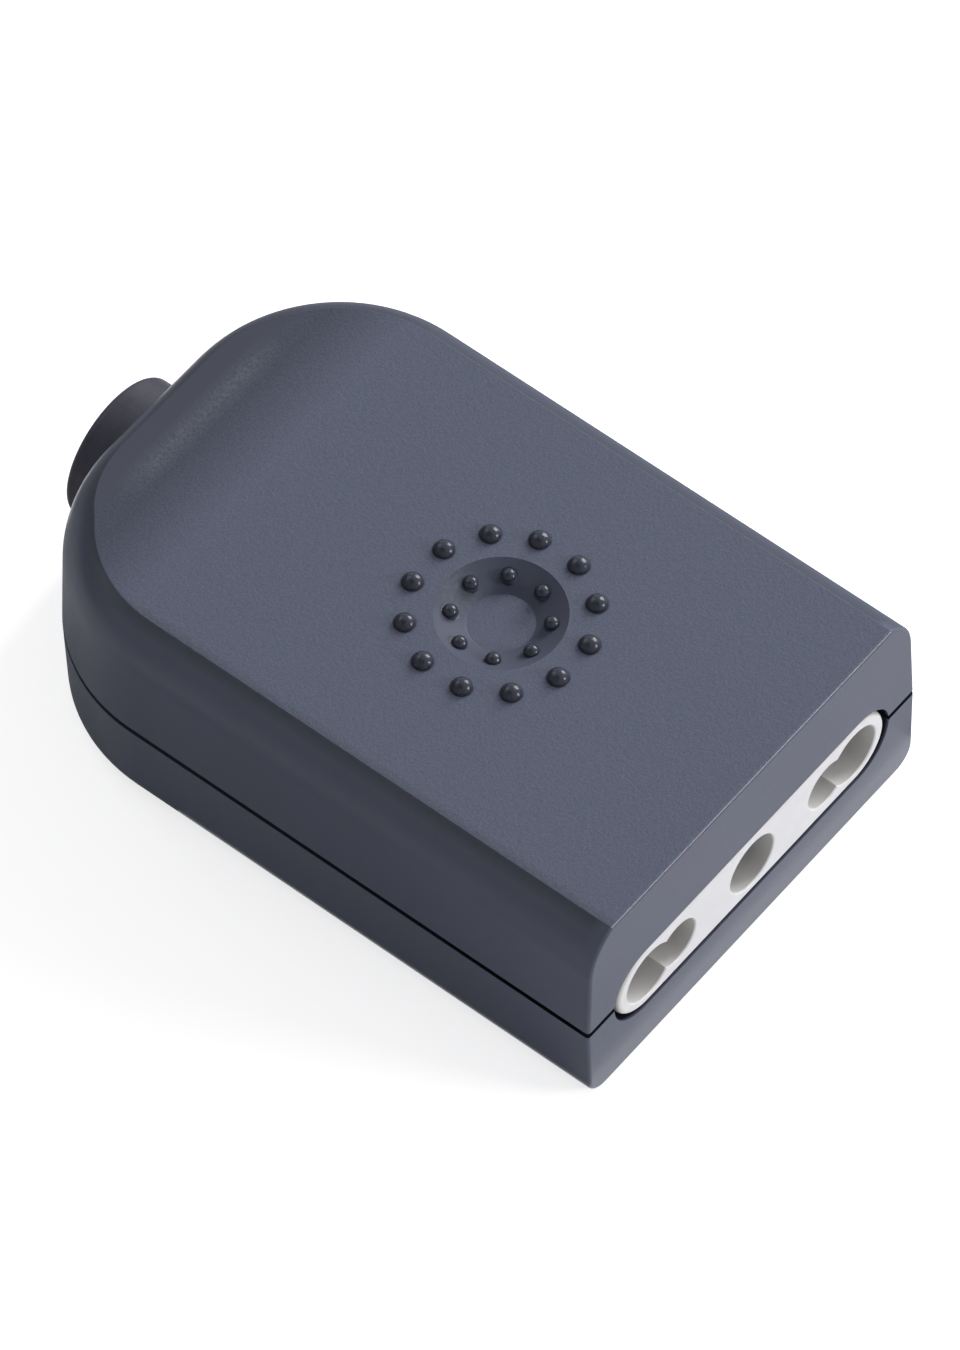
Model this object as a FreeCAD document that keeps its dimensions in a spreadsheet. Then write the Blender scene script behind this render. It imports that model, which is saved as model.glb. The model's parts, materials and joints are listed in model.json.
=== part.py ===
import FreeCAD, Part
import math
import os
import re
import Sketcher

# In-line power socket: two moulded shells round a dual-gauge socket insert.
# While it is built, y runs from the socket face (0) to the cable gland, z up from the base.
# Each sub-part's placement then brings the middle of the whole length to y = 0.

# Driving dimensions in millimetres and degrees
SIZES = {
    # Housing
    "body_width": 41.5,
    "body_length": 61.7,
    "body_height": 21.0,
    "parting_height": 8.85,
    "wall": 2.0,
    "rear_radius": 15.2,
    "rim_width": 2.5,
    "rim_drop": 1.75,
    "rim_blend": 5.0,
    "rear_slope_length": 5.5,
    "rear_slope_angle": 8.5,
    "bottom_radius": 2.0,
    "upper_draft": 3.0,
    "lower_draft": 0.8,
    "edge_radius": 0.3,
    "seam_height": 0.55,
    "seam_depth": 1.1,
    # Dish and raised dots on the top
    "dish_place": 25.2,
    "dish_mouth": 10.8,
    "dish_floor": 5.5,
    "dish_depth": 1.35,
    "dish_backing": 1.2,
    "dot_ring": 15.2,
    "dot_radius": 0.97,
    "dot_rise": 0.73,
    "dot_count": 12,
    "small_dot_ring": 8.1,
    "small_dot_radius": 0.69,
    "small_dot_count": 8,
    # Pin entries of the two gauges
    "large_pitch": 26.0,
    "small_pitch": 19.0,
    "large_entry": 5.6,
    "small_entry": 4.6,
    "earth_entry": 5.5,
    "entry_chamfer": 0.1,
    # Socket insert
    "nose_land": 0.4,
    "nose_stretch": 0.2,
    "nose_recess": 0.05,
    "nose_play": 0.2,
    "nose_end_play": 0.3,
    "rim_radius": 0.45,
    "insert_side_gap": 0.8,
    "insert_floor_gap": 0.45,
    "insert_length": 22.0,
    "face_thickness": 3.55,
    "slot_length": 6.0,
    "slot_wall": 1.2,
    "partition": 1.0,
    "chamber_height": 9.2,
    "chamber_play": 0.8,
    "earth_chamber_width": 7.2,
    "cover_thickness": 1.6,
    "cover_margin": 0.2,
    # Shutter and its spring
    "shutter_play": 0.15,
    "roof_gap": 0.25,
    "blade_low": 2.95,
    "blade_high": 4.3,
    "blade_tip": 1.25,
    "ramp_top": 2.2,
    "blade_inner": 6.7,
    "bridge_low": 3.0,
    "bridge_depth": 3.0,
    "spring_wire": 0.5,
    "spring_reach": 14.0,
    # Contacts
    "strip": 0.7,
    "clip_mouth": 3.9,
    "clip_front": 0.8,
    "clip_pinch": 2.4,
    "small_grip": 3.7,
    "large_grip": 4.7,
    "small_finger": 3.6,
    "large_finger": 3.8,
    "earth_finger": 5.0,
    "tail_width": 4.0,
    "tail_thickness": 0.8,
    "tail_reach": 2.4,
    "tail_play": 0.15,
    # Terminals
    "terminal_width": 6.4,
    "terminal_rise": 3.6,
    "terminal_length": 7.4,
    "wire_hole": 3.4,
    "wire_depth": 4.6,
    "terminal_screw": 3.0,
    "terminal_head": 5.0,
    "terminal_head_height": 1.6,
    "terminal_head_gap": 1.0,
    "head_floor_gap": 0.65,
    # Screws through the shells and the clamp
    "screw_core": 2.9,
    "screw_clearance": 3.4,
    "screw_head": 5.4,
    "screw_head_height": 1.7,
    "drive_slot": 0.8,
    "drive_depth": 0.9,
    "housing_screw_inset": 6.0,
    "housing_screw_bite": 8.0,
    "upper_boss": 6.0,
    "lower_boss": 8.4,
    "boss_gap": 0.8,
    "counterbore": 6.2,
    "counterbore_depth": 3.0,
    # Cord clamp
    "clamp_gap": 1.3,
    "clamp_screw_x": 8.6,
    "clamp_boss": 5.6,
    "clamp_groove": 0.9,
    "clamp_end": 3.9,
    "clamp_width": 7.0,
    "clamp_thickness": 2.2,
    "clamp_corner": 1.2,
    "clamp_recess": 5.8,
    "clamp_recess_depth": 1.2,
    "clamp_screw_bite": 7.0,
    "saddle_width": 2.4,
    "saddle_gap": 1.1,
    # Cable gland
    "cord_room": 8.8,
    "gland_bore": 8.2,
    "gland_neck": 10.6,
    "gland_barrel": 13.0,
    "gland_reach": 3.7,
    "gland_flange": 13.2,
    "gland_flange_length": 2.4,
    "gland_play": 0.1,
    "gland_round": 0.6,
    # Ribs that seat the inner pieces
    "rib": 1.6,
    "rib_place": 10.0,
    "rib_inset": 2.0,
    "stop_inset": 1.2,
    "lip_height": 1.2,
    "lip_thickness": 0.9,
    "lip_play": 0.15,
    "lip_length": 5.0,
}

# Lengths worked out from the driving dimensions
TOTAL = "(body_length + gland_reach)"
ROOF = "(body_height - wall)"
INSERT_REAR = "(wall + insert_length)"
COVER_REAR = f"({INSERT_REAR} + cover_thickness)"
SLOT_FRONT = "(nose_recess + face_thickness)"
SLOT_REAR = f"({SLOT_FRONT} + slot_length)"
CHAMBER_FRONT = f"({SLOT_REAR} + partition)"
INSERT_WIDTH = "(body_width - wall * 2 - insert_side_gap * 2)"
INSERT_LOW = "(wall + insert_floor_gap)"
INSERT_TOP = f"(parting_height * 2 - {INSERT_LOW})"
NOSE_SPAN = "(large_pitch / 2 + nose_stretch)"
NOSE_RADIUS = "(large_entry / 2 + entry_chamfer + nose_land + rim_radius)"
SLOT_WIDTH = f"({INSERT_WIDTH} - slot_wall * 2)"
CHAMBER_INNER = "(small_pitch / 2 - small_finger / 2 - chamber_play)"
CHAMBER_OUTER = "(large_pitch / 2 + large_finger / 2 + chamber_play)"
CHAMBER_PLACE = f"(({CHAMBER_INNER} + {CHAMBER_OUTER}) / 2)"
CHAMBER_WIDTH = f"({CHAMBER_OUTER} - {CHAMBER_INNER})"
TERMINAL_TOP = "(parting_height + terminal_rise)"
TERMINAL_LOW = "(wall + head_floor_gap + terminal_head_height + terminal_head_gap)"
TERMINAL_REAR = f"({COVER_REAR} + terminal_length)"
TERMINAL_SCREW_Y = f"({TERMINAL_REAR} - wire_depth / 2)"
HOUSING_SCREW_X = "(body_width / 2 - housing_screw_inset)"
HOUSING_SCREW_Y = f"({TERMINAL_REAR} + boss_gap + lower_boss / 2)"
CLAMP_PLACE = f"({HOUSING_SCREW_Y} + lower_boss / 2 + clamp_gap + clamp_width / 2)"
CLAMP_LENGTH = "((clamp_screw_x + clamp_end) * 2)"
GLAND_AXIS = "parting_height"
CLAMP_SEAT = f"({GLAND_AXIS} - cord_room / 2 + clamp_groove)"
CLAMP_LOW = f"({CLAMP_SEAT} - clamp_thickness)"
CLAMP_HEAD_SEAT = f"({CLAMP_LOW} + clamp_recess_depth)"
REAR_LEAN = f"(({GLAND_AXIS} + gland_flange / 2 - parting_height) * tan(upper_draft))"
FLANGE_REAR = f"(body_length - wall - {REAR_LEAN} - gland_play)"
SPRING_TOP = f"({ROOF} - spring_wire / 2)"
SPRING_RISE = f"({SPRING_TOP} - parting_height - blade_high - shutter_play - spring_wire / 2)"
SPRING_RADIUS = f"((spring_reach ^ 2 + {SPRING_RISE} ^ 2) / (2 * {SPRING_RISE}))"
SIDES = {"line": "1", "neutral": "-1"}

TINY = 1e-3
UPRIGHT = FreeCAD.Rotation()
TO_REAR = FreeCAD.Rotation(FreeCAD.Vector(1, 0, 0), -90)

doc = FreeCAD.newDocument("inline_power_socket")
sheet = doc.addObject("Spreadsheet::Sheet", "Sizes")
for row, (size_name, number) in enumerate(SIZES.items(), 1):
    sheet.set(f"A{row}", size_name)
    sheet.set(f"B{row}", str(number))
    sheet.setAlias(f"B{row}", size_name)
doc.recompute()


def sized(formula):
    """Turn the size names in a formula into references to the sheet."""
    def reference(found):
        word = found.group()
        return f"Sizes.{word}" if word in SIZES else word
    return re.sub(r"[a-z_]+", reference, formula)


def bind(feature, path, formula):
    feature.setExpression(path, sized(formula))


def new_body(label):
    body = doc.addObject("PartDesign::Body", label)
    body.Label = label
    bind(body, "Placement.Base.y", f"-{TOTAL} / 2")
    return body


def origin_plane(body, role):
    return next(plane for plane in body.Origin.OriginFeatures if plane.Role == role)


# Primitives inside a body
def place(feature, start, rotation=UPRIGHT):
    feature.Placement = FreeCAD.Placement(FreeCAD.Vector(), rotation)
    for axis, formula in zip("xyz", start):
        bind(feature, f"Placement.Base.{axis}", formula)


def box(body, name, x, y, z, cut=False):
    kind = "Subtractive" if cut else "Additive"
    feature = body.newObject(f"PartDesign::{kind}Box", name)
    for side, (low, high) in zip(("Length", "Width", "Height"), (x, y, z)):
        bind(feature, side, f"({high}) - ({low})")
    place(feature, (x[0], y[0], z[0]))
    return feature


def cylinder(body, name, diameter, start, length, rotation=UPRIGHT, cut=False):
    kind = "Subtractive" if cut else "Additive"
    feature = body.newObject(f"PartDesign::{kind}Cylinder", name)
    bind(feature, "Radius", f"({diameter}) / 2")
    bind(feature, "Height", length)
    place(feature, start, rotation)
    return feature


def span(centre, width):
    """Return the two ends of a width about a centre."""
    return f"{centre} - ({width}) / 2", f"{centre} + ({width}) / 2"


# Sketches and their constraints
def sketch(body, name, role, **shift):
    drawing = body.newObject("Sketcher::SketchObject", name)
    drawing.AttachmentSupport = (origin_plane(body, role), "")
    drawing.MapMode = "FlatFace"
    for axis, formula in shift.items():
        bind(drawing, f"AttachmentOffset.Base.{axis}", formula)
    return drawing


def dimension(drawing, kind, where, formula, guess):
    index = drawing.addConstraint(Sketcher.Constraint(kind, *where, guess))
    bind(drawing, f"Constraints[{index}]", formula)


def locate(drawing, geometry, point, across, up, guess):
    dimension(drawing, "DistanceX", (-1, 1, geometry, point), across, guess.x)
    dimension(drawing, "DistanceY", (-1, 1, geometry, point), up, guess.y)


def join_ends(drawing, kind, pairs):
    for pair in pairs:
        drawing.addConstraint(Sketcher.Constraint(kind, *pair))


def polygon(drawing, points):
    count = len(points)
    turn = 2 * math.pi / count
    guess = [FreeCAD.Vector(math.cos(turn * i), math.sin(turn * i), 0) for i in range(count)]
    lines = [Part.LineSegment(guess[i], guess[(i + 1) % count]) for i in range(count)]
    first = drawing.addGeometry(lines, False)[0]
    for i, (across, up) in enumerate(points):
        join_ends(drawing, "Coincident", [(first + i, 2, first + (i + 1) % count, 1)])
        locate(drawing, first + i, 1, across, up, guess[i])


def circle(drawing, across, up, diameter):
    guess = FreeCAD.Vector(1, 1, 0)
    index = drawing.addGeometry(Part.Circle(guess, FreeCAD.Vector(0, 0, 1), 1), False)
    locate(drawing, index, 3, across, up, guess)
    dimension(drawing, "Diameter", (index,), diameter, 2)


def arc(x, y, start, end):
    ring = Part.Circle(FreeCAD.Vector(x, y, 0), FreeCAD.Vector(0, 0, 1), 1)
    return Part.ArcOfCircle(ring, math.radians(start), math.radians(end))


def line(x0, y0, x1, y1):
    return Part.LineSegment(FreeCAD.Vector(x0, y0, 0), FreeCAD.Vector(x1, y1, 0))


def stadium(drawing, half_span, radius):
    right, top, left, low = drawing.addGeometry(
        [arc(2, 0, -90, 90), line(2, 1, -2, 1), arc(-2, 0, 90, 270), line(-2, -1, 2, -1)], False)
    join_ends(drawing, "Tangent", [(right, 2, top, 1), (top, 2, left, 1), (left, 2, low, 1),
                                   (low, 2, right, 1)])
    join_ends(drawing, "Equal", [(right, left)])
    locate(drawing, right, 3, half_span, "0", FreeCAD.Vector(2, 0, 0))
    locate(drawing, left, 3, f"-({half_span})", "0", FreeCAD.Vector(-2, 0, 0))
    dimension(drawing, "Radius", (right,), radius, 1)


def plan_outline(drawing, inset):
    """Draw the housing seen from above, set in from its outer edge all round."""
    left, left_turn, rear, right_turn, right, front = drawing.addGeometry(
        [line(-3, -1, -3, 2), arc(-2, 2, 90, 180), line(-2, 3, 2, 3),
         arc(2, 2, 0, 90), line(3, 2, 3, -1), line(3, -1, -3, -1)], False)
    join_ends(drawing, "Tangent", [(left, 2, left_turn, 2), (left_turn, 1, rear, 1),
                                   (rear, 2, right_turn, 2), (right_turn, 1, right, 1)])
    join_ends(drawing, "Coincident", [(right, 2, front, 1), (front, 2, left, 1)])
    join_ends(drawing, "Vertical", [(left,), (right,)])
    join_ends(drawing, "Horizontal", [(rear,), (front,)])
    join_ends(drawing, "Equal", [(left_turn, right_turn)])
    locate(drawing, left, 1, f"-body_width / 2 + {inset}", inset, FreeCAD.Vector(-3, -1, 0))
    dimension(drawing, "DistanceX", (-1, 1, right, 1), f"body_width / 2 - {inset}", 3)
    dimension(drawing, "DistanceY", (-1, 1, rear, 1), f"body_length - {inset}", 3)
    dimension(drawing, "Radius", (left_turn,), f"rear_radius - {inset}", 1)


# Features made from sketches, faces and edges
def profile_feature(body, kind, name, drawing, size, formula, reverse=False, symmetric=False):
    feature = body.newObject(f"PartDesign::{kind}", name)
    feature.Profile = drawing
    bind(feature, size, formula)
    feature.Reversed = reverse
    feature.Midplane = symmetric
    return feature


def turned(body, kind, name, drawing, axis, angle="360", symmetric=False):
    feature = profile_feature(body, kind, name, drawing, "Angle", angle, symmetric=symmetric)
    feature.ReferenceAxis = (drawing, [axis])
    return feature


def pick(shape, kind, test):
    """Name the faces or edges of a shape that pass a test on their boxes."""
    items = shape.Faces if kind == "Face" else shape.Edges
    return [f"{kind}{i}" for i, item in enumerate(items, 1) if test(item.BoundBox)]


def dressed(body, kind, name, base, elements, size, formula):
    feature = body.newObject(f"PartDesign::{kind}", name)
    feature.Base = (base, elements)
    bind(feature, size, formula)
    return feature


def lies_at(low, high, level):
    return abs(low - level) < TINY and abs(high - level) < TINY


# Housing shells
def hollow_shell(body, depth, upward, draft, shape_rim):
    """Pad the plan outline from the parting plane, draft it, hollow it out and shape its outer rim."""
    parting = sheet.parting_height
    outer = sheet.body_height if upward else 0.0
    plan = sketch(body, f"{body.Name}_plan", "XY_Plane", z="parting_height")
    plan_outline(plan, "0")
    pad = profile_feature(body, "Pad", f"{body.Name}_block", plan, "Length", depth, reverse=not upward)
    doc.recompute()
    sides = pick(pad.Shape, "Face", lambda b: b.ZLength > TINY and b.YMax > TINY)
    parting_face = pick(pad.Shape, "Face", lambda b: lies_at(b.ZMin, b.ZMax, parting))
    release = dressed(body, "Draft", f"{body.Name}_draft", pad, sides, "Angle", draft)
    release.NeutralPlane = (pad, parting_face)
    release.Reversed = not upward
    doc.recompute()
    mouth = pick(release.Shape, "Face", lambda b: lies_at(b.ZMin, b.ZMax, parting))
    hollow = dressed(body, "Thickness", f"{body.Name}_hollow", release, mouth, "Value", "wall")
    hollow.Reversed = True
    doc.recompute()
    rim = pick(hollow.Shape, "Edge", lambda b: lies_at(b.ZMin, b.ZMax, outer) and b.YMax > TINY)
    rounded = shape_rim(body, hollow, rim)
    doc.recompute()
    front = pick(rounded.Shape, "Edge", lambda b: lies_at(b.YMin, b.YMax, 0.0)
                 and not lies_at(b.ZMin, b.ZMax, parting))
    dressed(body, "Fillet", f"{body.Name}_front_edge", rounded, front, "Radius", "edge_radius")


def creased_rim(body, base, edges):
    """Slope the rim away from a crease round the flat top, and blend the slope into the sides."""
    slope = dressed(body, "Chamfer", f"{body.Name}_slope", base, edges, "Size", "rim_drop")
    slope.ChamferType = "Two distances"
    bind(slope, "Size2", "rim_width")
    doc.recompute()
    foot = sheet.body_height - sheet.rim_drop * math.cos(math.radians(sheet.upper_draft))
    turn = pick(slope.Shape, "Edge", lambda b: lies_at(b.ZMin, b.ZMax, foot) and b.YMax > TINY)
    return dressed(body, "Fillet", f"{body.Name}_blend", slope, turn, "Radius", "rim_blend")


def round_rim(body, base, edges):
    return dressed(body, "Fillet", f"{body.Name}_round", base, edges, "Radius", "bottom_radius")


def rear_slope(body):
    """Let the rear end of the flat top fall away."""
    behind = "body_length + wall"
    drop = "(rear_slope_length + wall) * tan(rear_slope_angle)"
    wedge = sketch(body, "rear_slope_wedge", "YZ_Plane")
    polygon(wedge, [("body_length - rear_slope_length", "body_height"), (behind, f"body_height - {drop}"),
                    (behind, "body_height")])
    profile_feature(body, "Pocket", "rear_slope", wedge, "Length", "body_width * 2", symmetric=True)


def front_opening(body):
    drawing = sketch(body, f"{body.Name}_opening", "XZ_Plane", y="parting_height")
    stadium(drawing, f"{NOSE_SPAN} + nose_end_play", f"{NOSE_RADIUS} + nose_play")
    profile_feature(body, "Pocket", f"{body.Name}_front_opening", drawing, "Length", "wall * 1.5")


def gland_opening(body):
    start = ("0", "body_length - wall * 2", GLAND_AXIS)
    cylinder(body, f"{body.Name}_gland_hole", "gland_neck", start, "wall * 3", TO_REAR, cut=True)


def both_sides(build):
    for name, sign in SIDES.items():
        build(name, sign)


def upper_shell():
    body = new_body("upper_shell")
    depth = "body_height - parting_height"
    hollow_shell(body, depth, True, "upper_draft", creased_rim)
    rear_slope(body)

    seam = sketch(body, "seam_ring", "XY_Plane", z="parting_height")
    plan_outline(seam, "-1")
    plan_outline(seam, "seam_depth")
    profile_feature(body, "Pocket", "seam", seam, "Length", "seam_height", reverse=True)
    front_opening(body)
    gland_opening(body)

    into_roof = f"{ROOF} + wall / 2"
    cylinder(body, "dish_pad", "dish_mouth + wall", ("0", "dish_place", f"{ROOF} - dish_backing"),
             "dish_backing + wall / 2")

    def screw_boss(name, sign):
        start = (f"{sign} * {HOUSING_SCREW_X}", HOUSING_SCREW_Y, "parting_height")
        cylinder(body, f"{name}_boss", "upper_boss", start, f"{into_roof} - parting_height")
        cylinder(body, f"{name}_pilot", "screw_core", start, "housing_screw_bite", cut=True)

    def clamp_boss(name, sign):
        start = (f"{sign} * clamp_screw_x", CLAMP_PLACE, CLAMP_SEAT)
        cylinder(body, f"{name}_clamp_boss", "clamp_boss", start, f"{into_roof} - {CLAMP_SEAT}")

    def clamp_pilot(name, sign):
        start = (f"{sign} * clamp_screw_x", CLAMP_PLACE, CLAMP_SEAT)
        cylinder(body, f"{name}_clamp_pilot", "screw_core", start, "clamp_screw_bite", cut=True)

    def insert_rib(name, sign):
        rows = (f"{CHAMBER_FRONT} + rib_inset", f"{INSERT_REAR} - rib_inset")
        box(body, f"{name}_insert_rib", span(f"{sign} * rib_place", "rib"), rows, (INSERT_TOP, into_roof))

    def terminal_rib(name, place_x):
        rows = span(TERMINAL_SCREW_Y, "rib")
        box(body, f"{name}_terminal_rib", span(place_x, "terminal_width - rib"), rows,
            (TERMINAL_TOP, into_roof))

    def cover_stop(name, sign):
        rows = (COVER_REAR, f"{COVER_REAR} + rib")
        place_x = f"{sign} * ({INSERT_WIDTH} / 2 - stop_inset)"
        box(body, f"{name}_cover_stop", span(place_x, "rib"), rows, ("parting_height", into_roof))

    both_sides(screw_boss)
    both_sides(insert_rib)
    both_sides(cover_stop)
    terminal_rib("earth", "0")
    both_sides(lambda name, sign: terminal_rib(name, f"{sign} * {CHAMBER_PLACE}"))
    both_sides(clamp_boss)
    box(body, "saddle", span("0", "clamp_screw_x * 2"), span(CLAMP_PLACE, "saddle_width"),
        (f"{GLAND_AXIS} + saddle_gap", into_roof))
    saddle_start = ("0", f"{CLAMP_PLACE} - clamp_boss", GLAND_AXIS)
    cylinder(body, "saddle_hollow", "cord_room", saddle_start, "clamp_boss * 2", TO_REAR, cut=True)
    both_sides(clamp_pilot)
    dish_and_dots(body)
    return body


def dish_and_dots(body):
    """Sink the dish into the top and raise the two rings of dots."""
    profile = sketch(body, "dish_profile", "XZ_Plane", z="-dish_place")
    floor = "body_height - dish_depth"
    polygon(profile, [("0", floor), ("dish_floor / 2", floor), ("dish_mouth / 2", "body_height"),
                      ("0", "body_height")])
    turned(body, "Groove", "dish", profile, "V_Axis")
    slope = "(small_dot_ring - dish_floor) / (dish_mouth - dish_floor)"
    dot_ring(body, "dot", "body_height - dot_radius + dot_rise", profile)
    dot_ring(body, "small_dot", f"{floor} + dish_depth * {slope}", profile)


def dot_ring(body, name, height, axis_sketch):
    """Raise a ring of dots; the first dots of both rings lie on one line from the dish's middle."""
    dot = body.newObject("PartDesign::AdditiveSphere", name)
    bind(dot, "Radius", f"{name}_radius")
    first = "180 / dot_count"
    across = f"{name}_ring / 2 * sin({first})"
    along = f"dish_place + {name}_ring / 2 * cos({first})"
    place(dot, (across, along, height))
    pattern = body.newObject("PartDesign::PolarPattern", f"{name}_ring")
    pattern.Originals = [dot]
    pattern.Axis = (axis_sketch, ["V_Axis"])
    pattern.Angle = 360
    bind(pattern, "Occurrences", f"{name}_count")
    body.Tip = pattern


def lower_shell():
    body = new_body("lower_shell")
    hollow_shell(body, "parting_height", False, "lower_draft", round_rim)
    front_opening(body)
    from_floor = "wall / 2"

    def screw_boss(name, sign):
        x = f"{sign} * {HOUSING_SCREW_X}"
        cylinder(body, f"{name}_boss", "lower_boss", (x, HOUSING_SCREW_Y, from_floor),
                 f"parting_height - {from_floor}")
        cylinder(body, f"{name}_clearance", "screw_clearance", (x, HOUSING_SCREW_Y, "-wall"),
                 "parting_height + wall * 2", cut=True)
        cylinder(body, f"{name}_counterbore", "counterbore", (x, HOUSING_SCREW_Y, "-wall"),
                 "counterbore_depth + wall", cut=True)

    def insert_rib(name, sign):
        rows = (f"{SLOT_FRONT} + rib_inset", f"{INSERT_REAR} - rib_inset")
        box(body, f"{name}_insert_rib", span(f"{sign} * rib_place", "rib"), rows, (from_floor, INSERT_LOW))

    def lip(name, sign):
        inner_wall = "(body_width / 2 - wall)"
        outer = f"({inner_wall} - lip_play - lip_height * tan(upper_draft))"
        inner = f"({outer} - lip_thickness)"
        anchor = f"({inner_wall} + wall / 4)"
        rows = (f"{COVER_REAR} + rib * 2", f"{COVER_REAR} + rib * 2 + lip_length")
        lip_sides = span(f"{sign} * ({outer} + {inner}) / 2", "lip_thickness")
        root_sides = span(f"{sign} * ({anchor} + {inner}) / 2", f"{anchor} - {inner}")
        box(body, f"{name}_lip", lip_sides, rows, (from_floor, "parting_height + lip_height"))
        box(body, f"{name}_lip_root", root_sides, rows, (from_floor, "parting_height"))

    both_sides(screw_boss)
    both_sides(insert_rib)
    both_sides(lip)
    gland_opening(body)
    return body


# Socket insert with its cover and shutter
def entries(body, name, circles):
    drawing = sketch(body, f"{name}_circles", "XZ_Plane", y="parting_height")
    for across, diameter in circles:
        circle(drawing, across, "0", diameter)
    depth = f"{CHAMBER_FRONT} + partition"
    return profile_feature(body, "Pocket", f"{name}_entries", drawing, "Length", depth)


def socket_insert():
    body = new_body("socket_insert")
    box(body, "insert_block", span("0", INSERT_WIDTH), ("wall", INSERT_REAR), (INSERT_LOW, INSERT_TOP))
    box(body, "shutter_tower", span("0", INSERT_WIDTH), ("wall", f"{SLOT_REAR} + partition"),
        ("parting_height", f"{ROOF} - roof_gap"))
    nose = sketch(body, "nose_outline", "XZ_Plane", y="parting_height", z="-nose_recess")
    stadium(nose, NOSE_SPAN, NOSE_RADIUS)
    nose_pad = profile_feature(body, "Pad", "nose", nose, "Length", "wall", reverse=True)
    doc.recompute()
    front = sheet.nose_recess
    rim = pick(nose_pad.Shape, "Edge", lambda b: lies_at(b.YMin, b.YMax, front))
    dressed(body, "Fillet", "nose_rim", nose_pad, rim, "Radius", "rim_radius")

    box(body, "shutter_slot", span("0", SLOT_WIDTH), (SLOT_FRONT, SLOT_REAR),
        ("parting_height - blade_low - shutter_play", "body_height"), cut=True)
    chamber_rows = (CHAMBER_FRONT, f"{INSERT_REAR} + wall")
    chamber_levels = span("parting_height", "chamber_height")
    box(body, "earth_chamber", span("0", "earth_chamber_width"), chamber_rows, chamber_levels, cut=True)

    def chamber(name, sign):
        box(body, f"{name}_chamber", span(f"{sign} * {CHAMBER_PLACE}", CHAMBER_WIDTH), chamber_rows,
            chamber_levels, cut=True)

    both_sides(chamber)
    entries(body, "large", [("-large_pitch / 2", "large_entry"), ("0", "earth_entry"),
                            ("large_pitch / 2", "large_entry")])
    last = entries(body, "small", [("-small_pitch / 2", "small_entry"), ("small_pitch / 2", "small_entry")])
    doc.recompute()
    reach = sheet.large_pitch / 2 + sheet.large_entry / 2
    mouths = pick(last.Shape, "Edge", lambda b: lies_at(b.YMin, b.YMax, front)
                  and b.XLength < sheet.large_entry + TINY and abs(b.XMin) < reach + TINY
                  and abs(b.XMax) < reach + TINY)
    dressed(body, "Chamfer", "entry_mouths", last, mouths, "Size", "entry_chamfer")
    return body


def insert_cover():
    body = new_body("insert_cover")
    box(body, "plate", span("0", f"{INSERT_WIDTH} - cover_margin * 2"), (INSERT_REAR, COVER_REAR),
        (f"{INSERT_LOW} + cover_margin", f"{INSERT_TOP} - cover_margin"))

    def tail_slot(name, place_x):
        box(body, f"{name}_tail_slot", span(place_x, "tail_width + tail_play * 2"),
            (f"{INSERT_REAR} - wall", f"{COVER_REAR} + wall"),
            span("parting_height", "tail_thickness + tail_play * 2"), cut=True)

    tail_slot("earth", "0")
    both_sides(lambda name, sign: tail_slot(name, f"{sign} * {CHAMBER_PLACE}"))
    return body


def shutter():
    body = new_body("shutter")
    front = f"({SLOT_FRONT} + shutter_play)"
    rear = f"({SLOT_REAR} - shutter_play)"
    outer = f"({SLOT_WIDTH} / 2 - shutter_play)"
    low = "parting_height - blade_low"
    high = "parting_height + blade_high"

    def blade(name, sign):
        centre = f"{sign} * ({outer} + blade_inner) / 2"
        wedge = sketch(body, f"{name}_wedge", "YZ_Plane", z=centre)
        polygon(wedge, [(f"{rear} - blade_tip", low), (rear, low), (rear, high), (front, high),
                        (front, "parting_height + ramp_top")])
        width = f"{outer} - blade_inner"
        profile_feature(body, "Pad", f"{name}_blade", wedge, "Length", width, symmetric=True)

    box(body, "bridge", span("0", "blade_inner * 2 + shutter_play"), (f"{rear} - bridge_depth", rear),
        ("parting_height + bridge_low", high))
    both_sides(blade)
    return body


def shutter_spring():
    body = new_body("shutter_spring")
    wire = sketch(body, "wire_section", "YZ_Plane", y=f"{SPRING_TOP} - {SPRING_RADIUS}")
    circle(wire, f"({SLOT_FRONT} + {SLOT_REAR}) / 2", SPRING_RADIUS, "spring_wire")
    sweep = f"2 * asin(spring_reach / {SPRING_RADIUS})"
    turned(body, "Revolution", "bow", wire, "H_Axis", sweep, symmetric=True)
    return body


# Contacts bent from strip, and their terminals
def clip_profile(drawing, grip):
    """Draw a two-leaf clip from the side: a web at the rear, a pinch and a flared mouth."""
    front = f"({CHAMBER_FRONT} + clip_front)"
    pinch = f"({front} + clip_pinch)"
    web = f"({INSERT_REAR} - strip)"
    upper = [(front, "clip_mouth"), (front, "clip_mouth - strip"), (pinch, f"({grip}) / 2"),
             (web, "clip_mouth - strip")]
    outer = [(INSERT_REAR, "clip_mouth"), (pinch, f"({grip}) / 2 + strip")]
    lower = [(across, f"-({up})") for across, up in reversed(upper)]
    lower_outer = [(across, f"-({up})") for across, up in reversed(outer)]
    polygon(drawing, upper + lower + lower_outer + outer)


def finger(body, name, centre, width, grip):
    drawing = sketch(body, f"{name}_profile", "YZ_Plane", y="parting_height", z=centre)
    clip_profile(drawing, grip)
    profile_feature(body, "Pad", f"{name}_finger", drawing, "Length", width, symmetric=True)


def tail(body, centre):
    rows = (f"{INSERT_REAR} - strip / 2", f"{COVER_REAR} + tail_reach")
    box(body, "tail", span(centre, "tail_width"), rows, span("parting_height", "tail_thickness"))


def web(body, ends):
    box(body, "web", ends, (f"{INSERT_REAR} - strip", INSERT_REAR), span("parting_height", "chamber_height"))


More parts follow.
